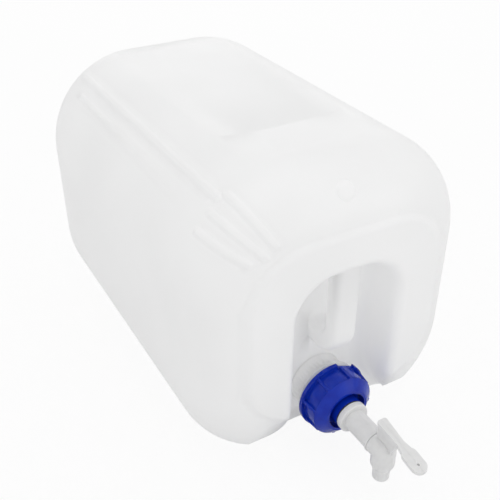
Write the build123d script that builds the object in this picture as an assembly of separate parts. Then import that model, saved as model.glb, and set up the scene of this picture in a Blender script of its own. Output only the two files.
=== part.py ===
from build123d import *
import math
import os

# Jerrican-type carboy of the 20 litre class with a screw cap and a dispensing tap.
# It lies on a large side, as it is used to pour. Millimetres.
# Origin: centre of the resting face. +X right, -Y towards the cap, +Z up.

# ---------------------------------------------------------------- canister
body_width = 250.0
body_height = 268.0
body_length = 382.0
wall = 2.0
corner_round = 90.0
front_round = 50.0
under_front_round = 72.0
base_round = 70.0

# raised flat panel on the front end, with the handle in its middle
panel_width = 172.0
panel_low = 58.0
panel_high = 218.0
panel_corner = 48.0
panel_step = 3.5
panel_edge = 7.0
panel_slope = 45.0

# hollow in the front end that takes the handle and the neck, open underneath
hollow_width = 94.0
hollow_top = 184.0
hollow_depth = 40.0
hollow_corner = 34.0
hollow_floor_round = 14.0
hollow_lip_round = 9.0
hollow_foot_round = 70.0

# handle bar, hollow like the rest of the shell
handle_width = 22.0
handle_thickness = 16.0
handle_setback = 3.0
handle_low = 98.0
handle_bend = 26.0
handle_edge = 5.0
finger_gap_low = 118.0
finger_gap_high = 178.0
finger_gap_corner = 9.0

# sunk panel on the upper side, and the shallow push-up in the base end
dish_width = 150.0
dish_front_gap = 95.0
dish_back_gap = 51.0
dish_depth = 2.6
dish_corner = 34.0
dish_slope = 62.0
base_dish_size = 96.0
base_dish_depth = 6.0
base_dish_corner = 26.0
base_dish_slope = 40.0

# stiffening ribs along the upper left corner, each at an angle from the vertical.
# Long ones run along the body and stop short of its front and back ends. Short ones bend over the
# front rounding, from where it has turned so many degrees to where it has turned so many.
rib_radius = 6.0
rib_proud = 1.2
long_ribs = ((36.0, 47.0, 63.0), (46.5, 221.0, 85.0))
short_ribs = ((32.0, 13.0, 72.0), (43.0, 13.0, 72.0), (53.5, 13.0, 64.0))

# small round boss on the upper side
boss_radius = 7.0
boss_height = 1.6
boss_edge = 1.2
boss_left = 16.0
boss_behind_front = 34.0

# ---------------------------------------------------------------- neck and cap
neck_height = 49.5
neck_radius = 25.0
neck_bore = 22.0
neck_lip_behind = 5.5
neck_ring_radius = 28.0
neck_ring_thickness = 3.0
neck_ring_behind_cap = 4.0

cap_clearance = 0.5
cap_end_wall = 3.0
cap_skirt_wall = 2.4
cap_flange_radius = 31.4
cap_flange_length = 3.5
cap_notch_count = 2
cap_notch_angle = 34.0
cap_notch_after_rib = 33.75
cap_skirt_length = 14.0
cap_rib_count = 8
cap_rib_radius = 30.6
cap_rib_taper = 1.4
cap_rib_width = 3.4
cap_rib_turn = 32.0
cap_shoulder_length = 7.0
cap_shoulder_radius = 28.6
cap_rim_length = 8.0
cap_rim_radius = 20.0
cap_well_radius = 17.6
cap_boss_radius = 13.6
cap_boss_proud = 3.5
cap_edge = 0.8
liner_thickness = 2.0
liner_bore = 18.0
liner_gap = 0.3

# ---------------------------------------------------------------- tap
barrel_radius = 9.6
barrel_bore = 7.8
barrel_reach = 28.4
barrel_tail = 14.0
barrel_end_wall = 2.0
barrel_bead = 0.8
barrel_bead_length = 2.0
barrel_hole_gap = 0.25
flange_radius = 13.7
flange_thickness = 5.0
flange_edge = 1.2
washer_thickness = 1.6
washer_radius = 13.2
nut_across_flats = 29.0
nut_thickness = 6.0
nut_washer_thickness = 1.2

running_gap = 0.06
end_gap = 0.3
rotor_wall = 2.7
port_radius = 2.2
port_offset = 3.2
seal_radius = 0.78
seal_depth = 1.6
seal_places = (8.0, 26.0)
snap_height = 0.5
snap_width = 1.4
snap_gap = 0.1
snap_behind_mouth = 5.0

# the elbow outside the barrel, with its spout and lever in one moulding
elbow_radius = 9.8
elbow_reach = 10.3
spout_body_length = 13.0
spout_shoulder = 5.5
nozzle_radius = 6.85
nozzle_bore = 4.6
nozzle_length = 11.4
nozzle_tip_round = 1.8
nozzle_bead = 0.5
nozzle_bead_length = 1.6

lever_above_axis = 27.6
lever_back_margin = 2.6
lever_length = 51.2
lever_drop = 7.6
lever_thickness = 3.2
lever_tab_width = 9.0
lever_neck_width = 6.5
lever_paddle_width = 13.0
lever_paddle_length = 22.0
lever_neck_corner = 2.0
lever_paddle_corner = 6.0
lever_shoulder_length = 17.0
lever_hole_radius = 1.1
lever_hole_from_tip = 6.5
lever_web_width = 4.2
lever_web_reach = 24.0

# ---------------------------------------------------------------- derived places
# "out" is the distance towards the cap end, measured along the neck's axis from y = 0.
front_out = body_length / 2
dish_length = body_length - dish_front_gap - dish_back_gap
dish_back_shift = (dish_front_gap - dish_back_gap) / 2
block_front_out = front_out - panel_step
hollow_out = front_out - hollow_depth
lip_out = front_out - neck_lip_behind
cap_inside_out = lip_out + liner_thickness
well_out = cap_inside_out + cap_end_wall
cap_bore = neck_radius + cap_clearance
cap_skirt_radius = cap_bore + cap_skirt_wall
cap_back_out = cap_inside_out - cap_skirt_length
cap_front_out = well_out + cap_rim_length
boss_out = cap_front_out + cap_boss_proud
flange_back_out = boss_out + washer_thickness
flange_front_out = flange_back_out + flange_thickness
mouth_out = flange_front_out + barrel_reach
nut_back_out = cap_inside_out - nut_washer_thickness - nut_thickness
tail_out = nut_back_out - barrel_tail + nut_thickness
rotor_radius = barrel_bore - running_gap
rotor_bore = rotor_radius - rotor_wall
rotor_inner_out = tail_out + barrel_end_wall + end_gap
elbow_out = mouth_out + elbow_reach
cap_axis = Plane(origin=(0, 0, neck_height), x_dir=(1, 0, 0), z_dir=(0, -1, 0))


def tube(outer, inner, start, end):
    """A ring or cylinder about the neck's axis, between two distances out."""
    length = end - start
    middle = (start + end) / 2
    solid = Pos(0, 0, middle) * Cylinder(outer, length)
    if inner > 0:
        solid -= Pos(0, 0, middle) * Cylinder(inner, length)
    return solid


# ---------------------------------------------------------------- canister shell
def block(inset):
    """The rounded block that the parison is blown to."""
    section = RectangleRounded(
        body_width - 2 * inset, body_height - 2 * inset, corner_round - inset
    )
    back = body_length / 2 - inset
    front = block_front_out - inset
    solid = Pos(0, back, body_height / 2) * extrude(Plane.XZ * section, front + back)
    front_edges = solid.faces().sort_by(Axis.Y)[0].edges()
    solid = fillet(front_edges, front_round - inset)
    base_edges = solid.faces().sort_by(Axis.Y)[-1].edges()
    solid = fillet(base_edges, base_round - inset)
    return solid - under_front(inset)


def under_front(inset):
    """What the larger rounding of the front end's lower edge leaves out."""
    centre = Pos(-(block_front_out - under_front_round), under_front_round)
    corner = centre * Rectangle(2 * under_front_round, 2 * under_front_round, align=(Align.MAX, Align.MAX))
    corner -= centre * Circle(under_front_round - inset)
    return extrude(Plane.YZ * corner, body_width, both=True)


def front_panel(inset):
    """The raised flat on the front end, whose sides slope back into the rounding."""
    shrink = inset * math.tan(math.radians(panel_slope / 2))
    high = panel_high - shrink
    low = panel_low + shrink
    outline = RectangleRounded(panel_width - 2 * shrink, high - low, panel_corner - shrink)
    place = Plane(origin=(0, inset - front_out, (low + high) / 2), x_dir=(-1, 0, 0), z_dir=(0, 1, 0))
    solid = extrude(place * outline, front_round / 2, taper=-panel_slope)
    return fillet(solid.faces().sort_by(Axis.Y)[0].edges(), panel_edge - inset)


def hollow_tool(inset):
    """What is taken out of the front end for the handle and the neck."""
    below = 40.0
    ahead = 20.0
    foot_lead = 1.0
    half = hollow_width / 2 + inset
    top = hollow_top + inset
    corner = hollow_corner + inset
    outline = Rectangle(2 * half, top + below)
    outline = Pos(0, (top - below) / 2) * outline
    upper = outline.vertices().group_by(Axis.Y)[-1]
    outline = fillet(upper, corner)
    foot = inset - foot_lead
    outline += Pos(0, (foot - below) / 2) * Rectangle(2 * body_width, foot + below)
    feet = [v for v in outline.vertices() if abs(v.Y - foot) < 0.01 and abs(v.X) < half + 0.01]
    outline = fillet(feet, hollow_foot_round - inset)
    place = Plane(origin=(0, 0, 0), x_dir=(1, 0, 0), z_dir=(0, -1, 0))
    solid = extrude(place.offset(hollow_out - inset) * outline, hollow_depth + inset + ahead)
    floor_edges = [
        edge
        for edge in solid.faces().sort_by(Axis.Y)[-1].edges()
        if edge.center().Z > foot + 0.01 and abs(edge.center().X) < half + hollow_foot_round
    ]
    solid = fillet(floor_edges, hollow_floor_round + inset)
    face_out = front_out - inset
    slab = Pos(0, (body_height - below) / 2) * Rectangle(2 * body_width, body_height + below)
    solid += extrude(place.offset(face_out) * slab, ahead)
    lip_edges = [
        edge
        for edge in solid.edges()
        if abs(edge.center().Y + face_out) < 0.01
        and abs(edge.center().X) < half + hollow_foot_round
        and foot + 0.01 < edge.center().Z < body_height - 0.01
    ]
    return fillet(lip_edges, hollow_lip_round)


def handle(inset):
    """The bar across the hollow, bent back into its floor, with the gap for the fingers."""
    front = -(front_out - handle_setback - inset)
    back = -(hollow_out - handle_thickness)
    top = hollow_top + handle_edge + 2 * wall
    low = handle_low + inset
    side = Pos((front + back) / 2, (top + low) / 2) * Rectangle(back - front, top - low)
    bend = side.vertices().group_by(Axis.Y)[0].sort_by(Axis.X)[0]
    side = fillet(bend, handle_bend - inset)
    gap_front = -(front_out - handle_setback - handle_thickness + inset)
    gap_back = -(hollow_out - inset)
    gap_low = finger_gap_low - inset
    gap_high = finger_gap_high + inset
    gap = RectangleRounded(gap_back - gap_front, gap_high - gap_low, finger_gap_corner)
    gap = Pos((gap_front + gap_back) / 2, (gap_high + gap_low) / 2) * gap
    half = handle_width / 2 - inset
    solid = extrude(Plane.YZ * (side - gap), half, both=True)
    sides = solid.faces().filter_by(Axis.X)
    return fillet(sides.edges(), handle_edge - inset)


def sloped_dish(place, width, length, corner, depth, slope, inset):
    """A shallow sunk panel whose sides slope, cut from above the surface down to depth."""
    lead = 1.0
    spread = math.tan(math.radians(slope))
    rise = lead + depth + inset
    reach = (depth + inset) * spread
    outline = RectangleRounded(width - 2 * reach + 2 * inset, length - 2 * reach + 2 * inset, corner)
    return extrude(place.offset(-depth - inset) * outline, rise, taper=-slope)


def upper_dish(inset):
    place = Plane(origin=(0, dish_back_shift, body_height), x_dir=(1, 0, 0), z_dir=(0, 0, 1))
    return sloped_dish(place, dish_width, dish_length, dish_corner, dish_depth, dish_slope, inset)


def base_dish(inset):
    place = Plane(
        origin=(0, body_length / 2, body_height / 2), x_dir=(-1, 0, 0), z_dir=(0, 1, 0)
    )
    return sloped_dish(
        place,
        base_dish_size,
        base_dish_size,
        base_dish_corner,
        base_dish_depth,
        base_dish_slope,
        inset,
    )


def corner_place(angle):
    """Frame of the upper left corner's own axis, turned so that its +Z leaves at the angle."""
    x = -(body_width / 2 - corner_round)
    return Pos(x, 0, body_height - corner_round) * Rot(0, -angle, 0)


def long_rib(angle, from_front, from_back):
    """Straight round rib, half sunk in the corner, with ball ends."""
    front = from_front - front_out
    back = body_length / 2 - from_back
    reach = corner_round + rib_proud - rib_radius
    bar = Rot(90, 0, 0) * Cylinder(rib_radius, back - front)
    rib = Pos(0, (back + front) / 2, reach) * bar
    rib += Pos(0, front, reach) * Sphere(rib_radius)
    rib += Pos(0, back, reach) * Sphere(rib_radius)
    return corner_place(angle) * rib


def short_rib(angle, start, end):
    """Round rib bent over the front rounding, with ball ends."""
    bend = front_round + rib_proud - rib_radius
    section = Plane(origin=(0, 0, bend), x_dir=(1, 0, 0), z_dir=(0, -1, 0)) * Circle(rib_radius)
    rib = Rot(start, 0, 0) * revolve(section, Axis.X, end - start)
    for turn in (start, end):
        rib += Rot(turn, 0, 0) * Pos(0, 0, bend) * Sphere(rib_radius)
    centre = Pos(0, front_round - block_front_out, corner_round - front_round)
    return corner_place(angle) * centre * rib


def canister_body():
    outer = block(0) + front_panel(0)
    inner = block(wall) + front_panel(wall)
    outer -= hollow_tool(0)
    inner -= hollow_tool(wall)
    outer += handle(0)
    inner += handle(wall)
    outer -= upper_dish(0)
    inner -= upper_dish(wall)
    outer -= base_dish(0)
    inner -= base_dish(wall)
    root = hollow_out - hollow_floor_round
    outer += cap_axis * tube(neck_radius, 0, root, lip_out)
    ring_front = cap_back_out - neck_ring_behind_cap
    outer += cap_axis * tube(neck_ring_radius, 0, ring_front - neck_ring_thickness, ring_front)
    inner += cap_axis * tube(neck_bore, 0, root, lip_out + wall)
    for angle, from_front, from_back in long_ribs:
        outer += long_rib(angle, from_front, from_back)
    for angle, start, end in short_ribs:
        outer += short_rib(angle, start, end)
    boss = Pos(0, 0, boss_height / 2) * Cylinder(boss_radius, boss_height)
    boss = fillet(boss.edges().group_by(Axis.Z)[-1], boss_edge)
    boss_floor = body_height
    outer += Pos(-boss_left, -(front_out - front_round - boss_behind_front), boss_floor) * boss
    return outer - inner


# ---------------------------------------------------------------- cap
def cap_rib(start, end):
    """One grip rib, which leans in towards the front, with rounded outer edges."""
    front_radius = cap_rib_radius - cap_rib_taper
    side = Polyline(
        (cap_bore, start),
        (cap_rib_radius, start),
        (front_radius, end),
        (cap_bore, end),
        (cap_bore, start),
    )
    rib = extrude(make_face(Plane.XZ * side), cap_rib_width / 2, both=True)
    crest = rib.edges().filter_by(lambda edge: edge.center().X > front_radius)
    sides = [edge for edge in crest if abs(edge.center().Y) > cap_rib_width / 4]
    return fillet(sides, cap_edge)


def screw_cap():
    """Skirt with grip ribs, a notched flange, a coned shoulder, and a boss in a well."""
    shoulder_out = cap_front_out - cap_shoulder_length
    flange_front = cap_back_out + cap_flange_length
    profile = Polyline(
        (0, cap_back_out),
        (cap_flange_radius, cap_back_out),
        (cap_flange_radius, flange_front),
        (cap_skirt_radius, flange_front),
        (cap_skirt_radius, shoulder_out),
        (cap_shoulder_radius, shoulder_out),
        (cap_rim_radius, cap_front_out),
        (0, cap_front_out),
        (0, cap_back_out),
    )
    cap = revolve(make_face(Plane.XZ * profile), Axis.Z)
    notch_length = cap_flange_radius * math.radians(cap_notch_angle)
    for copy in range(cap_notch_count):
        turn = cap_rib_turn + cap_notch_after_rib + copy * 360 / cap_notch_count
        notch = Pos(cap_skirt_radius + cap_flange_radius / 2, 0, cap_back_out)
        notch *= Box(cap_flange_radius, notch_length, 2 * cap_flange_length)
        cap -= Rot(0, 0, turn) * notch
    rib = cap_rib(flange_front, shoulder_out)
    for copy in range(cap_rib_count):
        cap += Rot(0, 0, cap_rib_turn + copy * 360 / cap_rib_count) * rib
    cap -= tube(cap_bore, 0, cap_back_out, cap_inside_out)
    cap -= tube(cap_well_radius, cap_boss_radius, well_out, cap_front_out)
    cap += tube(cap_boss_radius, 0, cap_inside_out, boss_out)
    cap -= tube(barrel_radius + barrel_hole_gap, 0, cap_inside_out, boss_out)
    return cap_axis * cap


def cap_liner():
    outer = cap_bore - liner_gap
    return cap_axis * tube(outer, liner_bore, lip_out, cap_inside_out)


# ---------------------------------------------------------------- tap
def tap_barrel():
    """Flanged tube through the cap, closed at its inner end but for the port."""
    solid = tube(barrel_radius, 0, tail_out, mouth_out)
    flange = tube(flange_radius, 0, flange_back_out, flange_front_out)
    flange = fillet(flange.edges().group_by(Axis.Z)[-1], flange_edge)
    solid += flange
    bead = tube(barrel_radius + barrel_bead, 0, mouth_out - barrel_bead_length, mouth_out)
    solid += fillet(bead.edges(), barrel_bead * 0.7)
    solid -= tube(barrel_bore, 0, tail_out + barrel_end_wall, mouth_out)
    solid -= Pos(0, -port_offset, tail_out) * Cylinder(port_radius, 4 * barrel_end_wall)
    groove_middle = mouth_out - snap_behind_mouth
    groove_half = snap_width / 2 + snap_gap
    groove = barrel_bore + snap_height + snap_gap
    solid -= tube(groove, 0, groove_middle - groove_half, groove_middle + groove_half)
    return cap_axis * solid


def flange_washer():
    bore = barrel_radius + barrel_hole_gap
    return cap_axis * tube(washer_radius, bore, boss_out, flange_back_out)


def nut_washer():
    bore = barrel_radius + barrel_hole_gap
    return cap_axis * tube(washer_radius, bore, cap_inside_out - nut_washer_thickness, cap_inside_out)


def lock_nut():
    hexagon = RegularPolygon(nut_across_flats / 2, 6, major_radius=False)
    nut = Pos(0, 0, nut_back_out) * extrude(hexagon, nut_thickness)
    nut -= tube(barrel_radius + barrel_hole_gap, 0, nut_back_out, nut_back_out + nut_thickness)
    return cap_axis * nut


def lever():
    """Flat finger lever forward over the elbow, standing on a web."""
    back_out = mouth_out + lever_back_margin
    tip_out = back_out + lever_length
    high = lever_above_axis
    side = Polyline(
        (back_out, high),
        (tip_out, high - lever_drop),
        (tip_out, high - lever_drop - lever_thickness),
        (back_out, high - lever_thickness),
        (back_out, high),
    )
    side_plane = Plane(origin=(0, 0, 0), x_dir=(0, 0, 1), z_dir=(-1, 0, 0))
    slab = extrude(make_face(side_plane * side), lever_paddle_width / 2, both=True)
    neck = Pos(0, (back_out + tip_out) / 2) * RectangleRounded(
        lever_neck_width, lever_length, lever_neck_corner
    )
    half_tab = lever_tab_width / 2
    half_neck = lever_neck_width / 2
    tab = Polyline(
        (-half_tab, back_out),
        (half_tab, back_out),
        (half_neck, back_out + lever_web_reach),
        (-half_neck, back_out + lever_web_reach),
        (-half_tab, back_out),
    )
    tab = make_face(tab)
    tab = fillet(tab.vertices().group_by(Axis.Y)[0], lever_neck_corner)
    neck += tab
    paddle_middle = tip_out - lever_paddle_length / 2
    paddle = Pos(0, paddle_middle) * RectangleRounded(
        lever_paddle_width, lever_paddle_length, lever_paddle_corner
    )
    half_paddle = lever_paddle_width / 2
    shoulder_back = paddle_middle - lever_shoulder_length
    shoulder = Polyline(
        (-half_neck, shoulder_back),
        (half_neck, shoulder_back),
        (half_paddle, paddle_middle),
        (-half_paddle, paddle_middle),
        (-half_neck, shoulder_back),
    )
    paddle += make_face(shoulder)
    plan_plane = Plane(origin=(0, 0, 0), x_dir=(1, 0, 0), z_dir=(0, -1, 0))
    plan = slab & extrude(plan_plane * (neck + paddle), -(high + lever_thickness))
    hole = Pos(0, high - lever_drop, tip_out - lever_hole_from_tip) * Rot(90, 0, 0)
    plan -= hole * Cylinder(lever_hole_radius, 4 * lever_thickness)
    web_out = back_out + lever_web_reach
    web_side = Polyline(
        (back_out, 0),
        (back_out, high - lever_thickness / 2),
        (web_out, high - lever_drop * lever_web_reach / lever_length - lever_thickness / 2),
        (elbow_out + elbow_radius * 0.7, 0),
        (back_out, 0),
    )
    web = extrude(make_face(side_plane * web_side), lever_web_width / 2, both=True)
    return plan + web


def tap_rotor():
    """Inner tube, elbow, spout and lever in one moulding."""
    solid = tube(rotor_radius, 0, rotor_inner_out, mouth_out + end_gap)
    solid += tube(elbow_radius, 0, mouth_out + end_gap, elbow_out)
    solid += Pos(0, 0, elbow_out) * Sphere(elbow_radius)
    shoulder_low = spout_body_length + spout_shoulder
    tip_low = shoulder_low + nozzle_length
    bead_low = shoulder_low + nozzle_bead_length
    profile = Polyline(
        (0, 0),
        (elbow_radius, 0),
        (elbow_radius, -spout_body_length),
        (nozzle_radius + nozzle_bead, -shoulder_low),
        (nozzle_radius + nozzle_bead, -bead_low),
        (nozzle_radius, -bead_low),
        (nozzle_radius, -tip_low),
        (0, -tip_low),
        (0, 0),
    )
    spout = revolve(make_face(Plane.XZ * profile), Axis.Z)
    tip_edge = spout.edges().group_by(Axis.Z)[0]
    spout = fillet(tip_edge, nozzle_tip_round)
    spout = Pos(0, 0, elbow_out) * Rot(-90, 0, 0) * spout
    solid += spout
    solid += lever()
    end_wall = rotor_inner_out + barrel_end_wall
    solid -= tube(rotor_bore, 0, end_wall, elbow_out)
    solid -= Pos(0, 0, elbow_out) * Sphere(rotor_bore)
    bore_length = tip_low + rotor_bore
    drop = Pos(0, -bore_length / 2, elbow_out) * Rot(90, 0, 0) * Cylinder(nozzle_bore, bore_length)
    solid -= drop
    solid -= Pos(0, -port_offset, rotor_inner_out) * Cylinder(port_radius, 4 * barrel_end_wall)
    for place in seal_places:
        middle = rotor_inner_out + place
        half = seal_radius + snap_gap
        floor = rotor_radius - seal_depth
        solid -= tube(rotor_radius + wall, floor, middle - half, middle + half)
    snap_middle = mouth_out - snap_behind_mouth
    snap = barrel_bore + snap_height
    solid += tube(snap, rotor_bore, snap_middle - snap_width / 2, snap_middle + snap_width / 2)
    return cap_axis * solid


def seal_ring(place):
    centre = rotor_radius - seal_depth + seal_radius + running_gap / 2
    return cap_axis * (Pos(0, 0, rotor_inner_out + place) * Torus(centre, seal_radius))


nodes = {
    "canister_body": canister_body(),
    "screw_cap": screw_cap(),
    "cap_liner": cap_liner(),
    "tap_barrel": tap_barrel(),
    "flange_washer": flange_washer(),
    "nut_washer": nut_washer(),
    "lock_nut": lock_nut(),
    "tap_rotor": tap_rotor(),
}
for number, place in enumerate(seal_places, start=1):
    nodes[f"seal_ring_{number}"] = seal_ring(place)

os.makedirs("parts", exist_ok=True)
for name, node in nodes.items():
    export_step(node, f"parts/{name}.step")
    print(name, "volume", round(node.volume), "solids", len(node.solids()))
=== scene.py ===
# %% [markdown]
# # A plastic carboy with a dispensing tap, dressed for the studio
# The solids of this carboy were built in a CAD program and packed into one model. Here Blender
# gives them their plastics, and adds the small marks that moulding leaves. It also ties every
# new piece to the body that carries it.

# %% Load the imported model
import math

import bpy
import bmesh
from mathutils import Matrix, Vector


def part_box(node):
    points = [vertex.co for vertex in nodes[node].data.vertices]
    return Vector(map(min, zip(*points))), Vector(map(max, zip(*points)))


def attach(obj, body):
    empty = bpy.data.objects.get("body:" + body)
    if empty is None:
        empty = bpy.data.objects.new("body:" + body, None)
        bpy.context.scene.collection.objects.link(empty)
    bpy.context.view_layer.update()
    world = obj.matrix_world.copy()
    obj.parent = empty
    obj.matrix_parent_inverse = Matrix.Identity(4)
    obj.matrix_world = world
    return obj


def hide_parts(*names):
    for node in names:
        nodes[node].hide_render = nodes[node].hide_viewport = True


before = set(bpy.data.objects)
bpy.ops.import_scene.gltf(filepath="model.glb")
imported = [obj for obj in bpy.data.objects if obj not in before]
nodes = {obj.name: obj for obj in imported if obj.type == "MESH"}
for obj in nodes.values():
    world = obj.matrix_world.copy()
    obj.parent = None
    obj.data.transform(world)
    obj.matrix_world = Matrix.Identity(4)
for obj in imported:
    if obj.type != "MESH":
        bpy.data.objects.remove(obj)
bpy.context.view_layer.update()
print("CAD nodes:", sorted(nodes))

# %% [markdown]
# ## Units and colours
# Blender works in metres, and plastics are talked about in millimetres, so one value turns
# millimetres into metres.
# Colours are written as the hex values a designer would give. Shaders want linear light,
# so one function turns an sRGB hex value into linear numbers.

# %% Millimetres and hex colours
MM = 0.001


def linear(hex_colour):
    """The linear RGBA of an sRGB hex value such as 'F2F2F0'."""
    values = [int(hex_colour[at:at + 2], 16) / 255 for at in (0, 2, 4)]
    return [v / 12.92 if v <= 0.04045 else ((v + 0.055) / 1.055) ** 2.4 for v in values] + [1.0]


print("Milky white in linear light:", [round(v, 3) for v in linear("F2F2F0")])

# %% [markdown]
# ## One helper for every node
# A material is a small graph, and so is a Geometry Nodes tree. This helper adds one node of any
# kind, sets its values and links its inputs, so that each graph below reads as a short list of
# what is joined to what. A function for each kind of node would only hide Blender's own names.

# %% Helpers: a node, a material, an object


def add(tree, kind, links=None, inputs=None, **settings):
    """Adds a node, sets its properties and input values, and links other nodes' outputs into it."""
    node = tree.nodes.new(kind)
    for name, value in settings.items():
        setattr(node, name, value)
    for name, value in (inputs or {}).items():
        node.inputs[name].default_value = value
    for name, source in (links or {}).items():
        tree.links.new(source, node.inputs[name])
    return node


def new_material(name):
    """An empty node material and its tree, with only the output in it."""
    material = bpy.data.materials.new(name)
    material.use_nodes = True
    material.node_tree.nodes.clear()
    output = material.node_tree.nodes.new("ShaderNodeOutputMaterial")
    return material, material.node_tree, output


def put(name, data):
    """A new object for a mesh, lamp or camera, linked into the scene, at the origin."""
    thing = bpy.data.objects.new(name, data)
    bpy.context.scene.collection.objects.link(thing)
    return thing


print("Helpers ready")

# %% [markdown]
# ## Natural HDPE, blow-moulded: the skin
# The can is high-density polyethylene with no pigment, blown like a balloon into a cold mould.
# Blow moulds are sand-blasted so that air can leave, and the skin copies that as a fine grain.
# The wall also cools unevenly, which leaves a slow waviness that bends soft reflections.
# They could be modelled, but they are far finer than the mesh. So both are bumps, on Object
# coordinates, which keep them in their place on the can from wherever it is seen.

# %% HDPE: waves, grain and whiteness
hdpe, tree, output = new_material("natural_hdpe_blow_moulded")
place = add(tree, "ShaderNodeTexCoord")
wave_length = 45 * MM
waves = add(tree, "ShaderNodeTexNoise", {"Vector": place.outputs["Object"]},
            {"Scale": 1 / wave_length, "Detail": 1.0})
# the blasted grain is 0.2 mm in life, and drawn at 1.1 mm so that it shows at all
grain_size = 1.1 * MM
grain = add(tree, "ShaderNodeTexNoise", {"Vector": place.outputs["Object"]},
            {"Scale": 1 / grain_size, "Detail": 2.0, "Roughness": 0.6})
# no blow-moulded edge is sharp, so creases are shaded as if rounded by 3 mm
soft_edges = add(tree, "ShaderNodeBevel", None, {"Radius": 3 * MM}, samples=4)
wave_bump = add(tree, "ShaderNodeBump",
                {"Height": waves.outputs["Fac"], "Normal": soft_edges.outputs["Normal"]},
                {"Strength": 0.35, "Distance": 0.4 * MM})
grain_bump = add(tree, "ShaderNodeBump",
                 {"Height": grain.outputs["Fac"], "Normal": wave_bump.outputs["Normal"]},
                 {"Strength": 0.25, "Distance": 0.05 * MM})
# thick and thin wall differ a little in whiteness
patch_width = 70 * MM
patches = add(tree, "ShaderNodeTexNoise", {"Vector": place.outputs["Object"]},
              {"Scale": 1 / patch_width, "Detail": 1.5})
whiteness = add(tree, "ShaderNodeValToRGB", {"Fac": patches.outputs["Fac"]})
whiteness.color_ramp.elements[0].position = 0.35
whiteness.color_ramp.elements[0].color = linear("FBFBFB")
whiteness.color_ramp.elements[1].position = 0.65
whiteness.color_ramp.elements[1].color = linear("FDFDFD")
print("HDPE surface nodes:", len(tree.nodes))

# %% [markdown]
# ## Natural HDPE: light through the wall
# A 2 mm wall of natural HDPE lets much of the light through and scatters it on the way, so the
# can glows from within and its hollow is nearly as bright as its outside. Subsurface scattering
# would lose that light inside such a thin double-skinned shell. So the wall is a mix of a satin
# skin, which reflects, and a translucent one, which passes light on. Light that meets the
# inside of the wall, its back faces, goes through more easily, as it has already been scattered.

# %% HDPE: mix the satin skin with the translucent wall
skin = add(tree, "ShaderNodeBsdfPrincipled",
           {"Base Color": whiteness.outputs["Color"], "Normal": grain_bump.outputs["Normal"]},
           {"Roughness": 0.36, "IOR": 1.54})
through = add(tree, "ShaderNodeBsdfTranslucent", {"Color": whiteness.outputs["Color"]})
side = add(tree, "ShaderNodeNewGeometry")
# how much goes through: from outside, and how much more from inside
from_outside, more_from_inside, seen_share = 0.7, 0.27, 0.3
share = add(tree, "ShaderNodeMath", {0: side.outputs["Backfacing"]},
            {1: more_from_inside, 2: from_outside}, operation="MULTIPLY_ADD")
wall = add(tree, "ShaderNodeMixShader",
           {0: share.outputs["Value"], 1: skin.outputs["BSDF"], 2: through.outputs["BSDF"]})
# the face that is looked at is mostly satin skin
face = add(tree, "ShaderNodeMixShader", {1: skin.outputs["BSDF"], 2: through.outputs["BSDF"]},
           {0: seen_share})
ray = add(tree, "ShaderNodeLightPath")
pick = add(tree, "ShaderNodeMixShader",
           {0: ray.outputs["Is Camera Ray"], 1: wall.outputs["Shader"], 2: face.outputs["Shader"]})
tree.links.new(pick.outputs["Shader"], output.inputs["Surface"])
print("HDPE nodes:", len(tree.nodes))

# %% [markdown]
# ## Blue polypropylene, injection-moulded
# The screw cap is polypropylene with a strong blue pigment. An injection mould is polished,
# so this skin is glossy, with only a faint flow pattern from the plastic running round the tool.
# An image could hold that pattern, but a noise of the right width has no seams and no size limit.

# %% Material: blue polypropylene
blue, tree, output = new_material("blue_polypropylene_moulded")
place = add(tree, "ShaderNodeTexCoord")
flow_width = 9 * MM
flow = add(tree, "ShaderNodeTexNoise", {"Vector": place.outputs["Object"]},
           {"Scale": 1 / flow_width, "Detail": 2.0})
flow_bump = add(tree, "ShaderNodeBump", {"Height": flow.outputs["Fac"]},
                {"Strength": 0.3, "Distance": 0.08 * MM})
# the pigment looks deeper where the flow has left more of it
depth = add(tree, "ShaderNodeValToRGB", {"Fac": flow.outputs["Fac"]})
depth.color_ramp.elements[0].position = 0.3
depth.color_ramp.elements[0].color = linear("06249C")
depth.color_ramp.elements[1].position = 0.7
depth.color_ramp.elements[1].color = linear("0A30AC")
# moulded edges have a radius of about half a millimetre, which catches the light
edges = add(tree, "ShaderNodeBevel", None, {"Radius": 0.6 * MM}, samples=4)
tree.links.new(edges.outputs["Normal"], flow_bump.inputs["Normal"])
gloss = add(tree, "ShaderNodeBsdfPrincipled",
            {"Base Color": depth.outputs["Color"], "Normal": flow_bump.outputs["Normal"]},
            {"Roughness": 0.12, "IOR": 1.49, "Specular IOR Level": 0.28, "Subsurface Weight": 0.05,
             "Subsurface Scale": 1.0, "Subsurface Radius": (0.3 * MM, 0.4 * MM, 1.2 * MM)})
tree.links.new(gloss.outputs["BSDF"], output.inputs["Surface"])
print("Blue polypropylene nodes:", len(tree.nodes))

# %% [markdown]
# ## Natural polypropylene, injection-moulded
# The tap is polypropylene without pigment: a little greyer and clearer than the can.
# Light goes a few millimetres into it, and its polished mould leaves it smoother than the can.
# Its walls are thick for their size, so subsurface scattering suits it, unlike the can.

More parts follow.
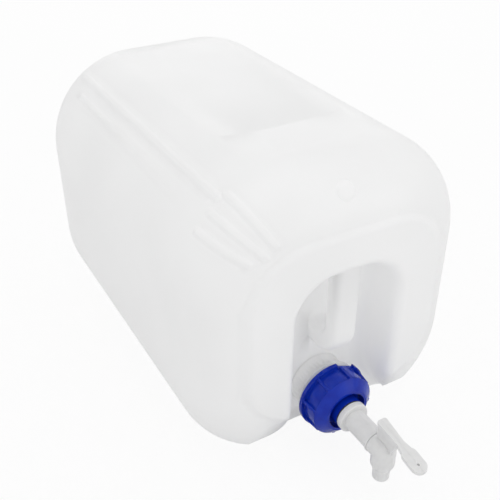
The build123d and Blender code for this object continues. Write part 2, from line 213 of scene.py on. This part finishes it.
# %% Material: natural polypropylene
natural, tree, output = new_material("natural_polypropylene_moulded")
place = add(tree, "ShaderNodeTexCoord")
haze_width = 6 * MM
haze = add(tree, "ShaderNodeTexNoise", {"Vector": place.outputs["Object"]},
           {"Scale": 1 / haze_width, "Detail": 2.0})
haze_bump = add(tree, "ShaderNodeBump", {"Height": haze.outputs["Fac"]},
                {"Strength": 0.3, "Distance": 0.06 * MM})
haze_tone = add(tree, "ShaderNodeValToRGB", {"Fac": haze.outputs["Fac"]})
haze_tone.color_ramp.elements[0].position = 0.3
haze_tone.color_ramp.elements[0].color = linear("DEDEDE")
haze_tone.color_ramp.elements[1].position = 0.7
haze_tone.color_ramp.elements[1].color = linear("E4E4E4")
print("Tap surface nodes:", len(tree.nodes))

# %% [markdown]
# ## The tap's parting line
# The two halves of an injection mould meet on the tap's middle plane, and plastic creeps a
# little way into the joint. That leaves a fine raised line along the top of the barrel and down
# the elbow. It is made from the distance to the plane x = 0, as one more bump.

# %% Tap: parting line and finish
across = add(tree, "ShaderNodeSeparateXYZ", {"Vector": place.outputs["Object"]})
away = add(tree, "ShaderNodeMath", {0: across.outputs["X"]}, operation="ABSOLUTE")
# the line is 0.2 mm wide in life, and drawn 1 mm wide so that it shows
half_line = 0.5 * MM
line = add(tree, "ShaderNodeMapRange", {"Value": away.outputs["Value"]},
           {"From Min": 0.0, "From Max": half_line, "To Min": 1.0, "To Max": 0.0},
           interpolation_type="SMOOTHSTEP")
line_bump = add(tree, "ShaderNodeBump",
                {"Height": line.outputs["Result"], "Normal": haze_bump.outputs["Normal"]},
                {"Strength": 0.6, "Distance": 0.3 * MM})
clear = add(tree, "ShaderNodeBsdfPrincipled",
            {"Base Color": haze_tone.outputs["Color"], "Normal": line_bump.outputs["Normal"]},
            {"Roughness": 0.28, "IOR": 1.49, "Subsurface Weight": 0.4, "Subsurface Scale": 1.0,
             "Subsurface Radius": (2.4 * MM, 2.4 * MM, 2.3 * MM)})
tree.links.new(clear.outputs["BSDF"], output.inputs["Surface"])
print("Natural polypropylene nodes:", len(tree.nodes))

# %% [markdown]
# ## The hidden sealing parts
# The cap's liner is closed-cell polyethylene foam, white and matt. The washers and O-rings
# are black nitrile rubber with a talcum bloom, so they are dark grey and matt rather than black.
# They are out of sight until the cap is taken apart, so a few nodes each are enough.

# %% Materials: foam and rubber
foam, tree, output = new_material("polyethylene_foam")
place = add(tree, "ShaderNodeTexCoord")
cell_width = 0.6 * MM
cells = add(tree, "ShaderNodeTexVoronoi", {"Vector": place.outputs["Object"]}, {"Scale": 1 / cell_width})
cell_bump = add(tree, "ShaderNodeBump", {"Height": cells.outputs["Distance"]},
                {"Strength": 0.4, "Distance": 0.1 * MM})
foam_skin = add(tree, "ShaderNodeBsdfPrincipled", {"Normal": cell_bump.outputs["Normal"]},
                {"Base Color": linear("ECECE8"), "Roughness": 0.85, "IOR": 1.5})
tree.links.new(foam_skin.outputs["BSDF"], output.inputs["Surface"])

rubber, tree, output = new_material("nitrile_rubber")
place = add(tree, "ShaderNodeTexCoord")
bloom_width = 2.5 * MM
bloom = add(tree, "ShaderNodeTexNoise", {"Vector": place.outputs["Object"]},
            {"Scale": 1 / bloom_width, "Detail": 3.0})
bloom_tone = add(tree, "ShaderNodeValToRGB", {"Fac": bloom.outputs["Fac"]})
bloom_tone.color_ramp.elements[0].position = 0.35
bloom_tone.color_ramp.elements[0].color = linear("1B1B1C")
bloom_tone.color_ramp.elements[1].position = 0.75
bloom_tone.color_ramp.elements[1].color = linear("333335")
rubber_skin = add(tree, "ShaderNodeBsdfPrincipled", {"Base Color": bloom_tone.outputs["Color"]},
                  {"Roughness": 0.65, "IOR": 1.52})
tree.links.new(rubber_skin.outputs["BSDF"], output.inputs["Surface"])
print("Foam and rubber made")

# %% [markdown]
# ## Give each CAD node its plastic
# A CAD node keeps its mesh, and only its material slots are filled. What isn't named here is
# a rubber seal. The slot of each was set in CAD, so nothing more is said about it.

# %% Assign the materials
plastics = {"canister_body": hdpe, "screw_cap": blue, "tap_barrel": natural, "tap_rotor": natural,
            "lock_nut": natural, "cap_liner": foam}
for name, node in nodes.items():
    material = plastics.get(name, rubber)
    node.data.materials.clear()
    node.data.materials.append(material)
    print(name, "is", material.name, "with", len(node.data.polygons), "triangles")

# %% [markdown]
# ## A smooth skin for the can
# The CAD mesh is loose triangles, so each one is shaded flat. The can gets a skin of its own:
# a copy of that mesh, with its corners merged, so that it can be shaded smooth, and with the
# low boss on its upper side levelled. A remesh would also join the triangles, but it would
# round off the thin wall. The solid itself stays as it is and goes on carrying the physics.

# %% Skin: copy, merge, shade smooth
can = put("canister_skin", nodes["canister_body"].data.copy())
shell = bmesh.new()
shell.from_mesh(can.data)
bmesh.ops.remove_doubles(shell, verts=shell.verts, dist=0.02 * MM)
flat_top = 268.0 * MM
boss_middle = Vector((-16.0 * MM, -107.0 * MM))
boss_reach = 7.5 * MM
levelled = 0
for corner in shell.verts:
    if corner.co.z > flat_top and (corner.co.xy - boss_middle).length < boss_reach:
        corner.co.z = flat_top
        levelled += 1
bmesh.ops.dissolve_degenerate(shell, edges=shell.edges, dist=0.005 * MM)
shell.to_mesh(can.data)
shell.free()
can.data.shade_smooth()
sharpest_bend = 0.6  # radians: a sharper crease than this stays a crease
can.data.set_sharp_from_angle(angle=sharpest_bend)
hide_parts("canister_body")
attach(can, "canister")
print("Skin has", len(can.data.polygons), "triangles,", levelled, "corners levelled")

# %% [markdown]
# ## The round mark on the front edge
# Where the blowing air leaves the mould, a vent plug prints a low round mark on the can. It
# sits on the rounded edge above the handle. A dome laid flat would stand off the curve, so
# each of its points is first dropped on to the skin and then raised by the dome's height.

# %% Vent mark: its size, its place, and one point of it
mark_radius, mark_height = 8.0 * MM, 1.8 * MM
mark_sunk = 0.1 * MM
probe = Vector((-3.0 * MM, -179.5 * MM, 250.0 * MM))
outward = Vector((0.0, -0.77, 0.638)).normalized()
sideways = Vector((1.0, 0.0, 0.0))
start_above = 20 * MM
rounds, spokes = 10, 40
dome = bmesh.new()


def mark_point(reach, turn):
    """A point of the dome, reach from 0 at its middle to 1 at its foot."""
    from_middle = Matrix.Rotation(turn, 3, outward) @ sideways * (reach * mark_radius)
    found, spot, normal, face = can.ray_cast(probe + from_middle + outward * start_above, -outward)
    rise = mark_height * (1 - reach ** 3) - mark_sunk
    return dome.verts.new(spot + normal * rise)


print("Vent mark is", round(2 * mark_radius / MM, 1), "mm across")

# %% [markdown]
# ## Join the mark's points
# The points lie on rings, like a target on a dish. Triangles close the middle and four-sided
# faces join each ring to the next. The outermost ring is a little below the skin, so that no
# gap shows at the foot.

# %% Vent mark: rings and faces
rings = [[mark_point(step / rounds, math.tau * spoke / spokes) for spoke in range(spokes)]
         for step in range(1, rounds + 1)]
top_point = mark_point(0.0, 0.0)
for spoke in range(spokes):
    after = (spoke + 1) % spokes
    dome.faces.new((top_point, rings[0][spoke], rings[0][after]))
    for inner, outer in zip(rings, rings[1:]):
        dome.faces.new((inner[spoke], outer[spoke], outer[after], inner[after]))
mark_mesh = bpy.data.meshes.new("vent_mark")
dome.to_mesh(mark_mesh)
dome.free()
mark_mesh.shade_smooth()
mark_mesh.materials.append(hdpe)
mark = put("vent_mark", mark_mesh)
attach(mark, "canister")
print("Vent mark has", len(mark_mesh.polygons), "faces")

# %% [markdown]
# ## The pinch-off seam
# A blown can starts as a soft tube of plastic. The mould closes on it, welds its end shut and
# nips off the rest, and the weld stays as a bead across the middle of the base. It lies in the
# base's recess, so that the can stands steady. It could be swept by hand, but a bead that
# follows a surface is a good job for Geometry Nodes: a straight line behind the can is sent
# on to the surface with Raycast, and a small round profile is swept along what it hits.

# %% Seam: the node tree
seam_tree = bpy.data.node_groups.new("seam_on_a_surface", "GeometryNodeTree")
sockets = {}
for label, kind in (("Surface", "Object"), ("Start", "Vector"), ("End", "Vector"), ("Towards", "Vector"),
                    ("Bead Radius", "Float"), ("Points", "Int"), ("Plastic", "Material")):
    sockets[label] = seam_tree.interface.new_socket(label, in_out="INPUT", socket_type="NodeSocket" + kind)
seam_tree.interface.new_socket("Seam", in_out="OUTPUT", socket_type="NodeSocketGeometry")
given = add(seam_tree, "NodeGroupInput").outputs
target = add(seam_tree, "GeometryNodeObjectInfo", {"Object": given["Surface"]})
straight = add(seam_tree, "GeometryNodeCurvePrimitiveLine", {"Start": given["Start"], "End": given["End"]})
steps = add(seam_tree, "GeometryNodeResampleCurve",
            {"Curve": straight.outputs["Curve"], "Count": given["Points"]})
hit = add(seam_tree, "GeometryNodeRaycast",
          {"Target Geometry": target.outputs["Geometry"], "Ray Direction": given["Towards"]},
          {"Ray Length": 1.0})
laid = add(seam_tree, "GeometryNodeSetPosition",
           {"Geometry": steps.outputs["Curve"], "Position": hit.outputs["Hit Position"]})
print("Inputs:", [label + " " + socket.identifier for label, socket in sockets.items()])

# %% [markdown]
# ## Thin the bead at its ends
# The nip is widest in the middle, where the tube was thickest, and runs out to nothing. The
# curve's own radius does that, from how far along the curve each point is.

# %% Seam: sweep the bead
along = add(seam_tree, "GeometryNodeSplineParameter")
half_turn = add(seam_tree, "ShaderNodeMath", {0: along.outputs["Factor"]}, {1: math.pi}, operation="MULTIPLY")
swell = add(seam_tree, "ShaderNodeMath", {0: half_turn.outputs["Value"]}, operation="SINE")
# a power below 1 keeps most of the bead at full width; the ends keep a twelfth of it
fullness, thinnest = 0.35, 0.08
fuller = add(seam_tree, "ShaderNodeMath", {0: swell.outputs["Value"]}, {1: fullness}, operation="POWER")
not_less = add(seam_tree, "ShaderNodeMath", {0: fuller.outputs["Value"]}, {1: thinnest}, operation="MAXIMUM")
thinned = add(seam_tree, "GeometryNodeSetCurveRadius",
              {"Curve": laid.outputs["Geometry"], "Radius": not_less.outputs["Value"]})
ring = add(seam_tree, "GeometryNodeCurvePrimitiveCircle",
           {"Radius": given["Bead Radius"]}, {"Resolution": 12})
bead = add(seam_tree, "GeometryNodeCurveToMesh",
           {"Curve": thinned.outputs["Curve"], "Profile Curve": ring.outputs["Curve"]}, {"Fill Caps": True})
if "Scale" in bead.inputs:
    seam_tree.links.new(not_less.outputs["Value"], bead.inputs["Scale"])
real = add(seam_tree, "GeometryNodeRealizeInstances", {"Geometry": bead.outputs["Mesh"]})
painted = add(seam_tree, "GeometryNodeSetMaterial",
              {"Geometry": real.outputs["Geometry"], "Material": given["Plastic"]})
add(seam_tree, "NodeGroupOutput", {"Seam": painted.outputs["Geometry"]})
print("Seam tree has", len(seam_tree.nodes), "nodes")

# %% [markdown]
# ## From a modifier to a plain mesh
# The tree runs as a modifier on an empty object. Its inputs are set by their identifiers
# before anything is evaluated. The result is then copied out as a plain mesh and the modifier
# is taken off, so that the seam is an ordinary piece, which other programs can read.

# %% Seam: a function that lays one


def lay_seam(name, start, end, towards, bead_radius, points):
    """A bead on the can, below the line from start to end, made a mesh that rides on the can."""
    seam = put(name, bpy.data.meshes.new(name))
    maker = seam.modifiers.new("seam", "NODES")
    maker.node_group = seam_tree
    values = {"Surface": can, "Start": start, "End": end, "Towards": towards,
              "Bead Radius": bead_radius, "Points": points, "Plastic": hdpe}
    for label, value in values.items():
        maker[sockets[label].identifier] = value
    made = bpy.data.meshes.new_from_object(seam.evaluated_get(bpy.context.evaluated_depsgraph_get()))
    seam.modifiers.remove(maker)
    seam.data = made
    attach(seam, "canister")
    corners = [[round(f(v.co[i] for v in made.vertices), 4) for i in range(3)] for f in (min, max)]
    print(name, len(made.polygons), "faces, box", corners)
    return seam


print("Ready to lay a seam")

# %% [markdown]
# ## Where the seam lies
# The base is the end away from the cap. The weld crosses the middle of its recess, on the
# plane where the mould's halves met. It stops short of the recess's edge, at 38 mm each way.

# %% Lay the pinch-off seam
base_low, base_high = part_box("canister_body")
middle_height = (base_low[2] + base_high[2]) / 2
behind = base_high[1] + 30 * MM
half_length = 38 * MM
lay_seam("pinch_off_seam", start=(0.0, behind, middle_height - half_length),
         end=(0.0, behind, middle_height + half_length), towards=(0.0, -1.0, 0.0),
         bead_radius=1.1 * MM, points=60)

# %% [markdown]
# ## The studio
# A product like this is shot on white paper, inside a light tent. The floor is a large sheet.
# More light would make it white, but would also bleach the can. So for the camera the paper is
# mostly its own white, and the tenth that is left still takes the object's faint shadow.

# %% Floor
floor_mesh = bpy.data.meshes.new("floor")
half = 4.0
floor_mesh.from_pydata([(-half, -half, 0), (half, -half, 0), (half, half, 0), (-half, half, 0)],
                       [], [(0, 1, 2, 3)])
floor = put("floor", floor_mesh)
paper, tree, output = new_material("white_paper_sweep")
ray = add(tree, "ShaderNodeLightPath")
card = add(tree, "ShaderNodeBsdfDiffuse", None, {"Color": linear("F0F0F0")})
glow = add(tree, "ShaderNodeEmission", None, {"Color": (1, 1, 1, 1), "Strength": 1.0})
own_white = 0.9
seen = add(tree, "ShaderNodeMath", {0: ray.outputs["Is Camera Ray"]}, {1: own_white}, operation="MULTIPLY")
mix = add(tree, "ShaderNodeMixShader",
          {0: seen.outputs["Value"], 1: card.outputs["BSDF"], 2: glow.outputs["Emission"]})
tree.links.new(mix.outputs["Shader"], output.inputs["Surface"])
floor_mesh.materials.append(paper)
print("Floor is", 2 * half, "m wide")

# %% [markdown]
# ## Lights
# The world is an even white that fills the shadows, as the walls of the tent do.
# One wide softbox stands behind and one hangs above, with a gap between them, which is the
# darker band that runs across the top of the can. A third stands in front, to the right, and
# lifts the rounded front edge and the panel round the handle. The one on the left is faint,
# so that the side wall falls off a little towards the floor.

# %% World and softboxes
world = bpy.data.worlds.new("light_tent")
bpy.context.scene.world = world
world.use_nodes = True
tent = world.node_tree
tent.nodes.clear()
ray = add(tent, "ShaderNodeLightPath")
fill = add(tent, "ShaderNodeBackground", None, {"Color": (1, 1, 1, 1), "Strength": 0.85})
white = add(tent, "ShaderNodeBackground", None, {"Color": (1, 1, 1, 1), "Strength": 1.0})
mix = add(tent, "ShaderNodeMixShader",
          {0: ray.outputs["Is Camera Ray"], 1: fill.outputs["Background"], 2: white.outputs["Background"]})
add(tent, "ShaderNodeOutputWorld", {"Surface": mix.outputs["Shader"]})


def softbox(name, stand, aim, width, height, watts):
    """A rectangular area light at stand, facing aim, all in metres."""
    light = bpy.data.lights.new(name, "AREA")
    light.shape = "RECTANGLE"
    light.size = width
    light.size_y = height
    light.energy = watts
    lamp = put(name, light)
    lamp.location = stand
    lamp.rotation_euler = (Vector(aim) - Vector(stand)).to_track_quat("-Z", "Y").to_euler()


middle = (0.0, 0.0, 0.13)
softbox("overhead_softbox", (0.1, -0.25, 1.6), middle, 1.3, 0.9, 2.0)
softbox("back_softbox", (0.75, 1.35, 0.75), middle, 1.8, 0.9, 2.0)
softbox("left_softbox", (-1.7, -0.5, 0.7), middle, 1.2, 1.2, 0.5)
softbox("front_softbox", (0.9, -1.9, 0.5), middle, 1.6, 1.0, 3.0)

# %% [markdown]
# ## Camera
# The camera looks down on the can's left front corner. A camera can be aimed with a constraint,
# but here its place and its directions are written out, so that the frame is always the same.

# %% Camera
camera_place = Vector((-0.2890, -0.5441, 0.4989))
looking = Vector((0.4136, 0.7279, -0.5469)).normalized()
rightward = Vector((0.8691, -0.4946, -0.0010)).normalized()
upward = rightward.cross(looking).normalized()
lens = bpy.data.cameras.new("camera")
lens.sensor_width = 36.0
lens.lens = 53.48
camera = put("camera", lens)
turned = Matrix((rightward, upward, -looking)).transposed().to_4x4()
camera.matrix_world = Matrix.Translation(camera_place) @ turned
bpy.context.scene.camera = camera
bpy.context.scene.view_settings.view_transform = "Standard"
print("Camera is", round(camera_place.length, 3), "m from the origin")
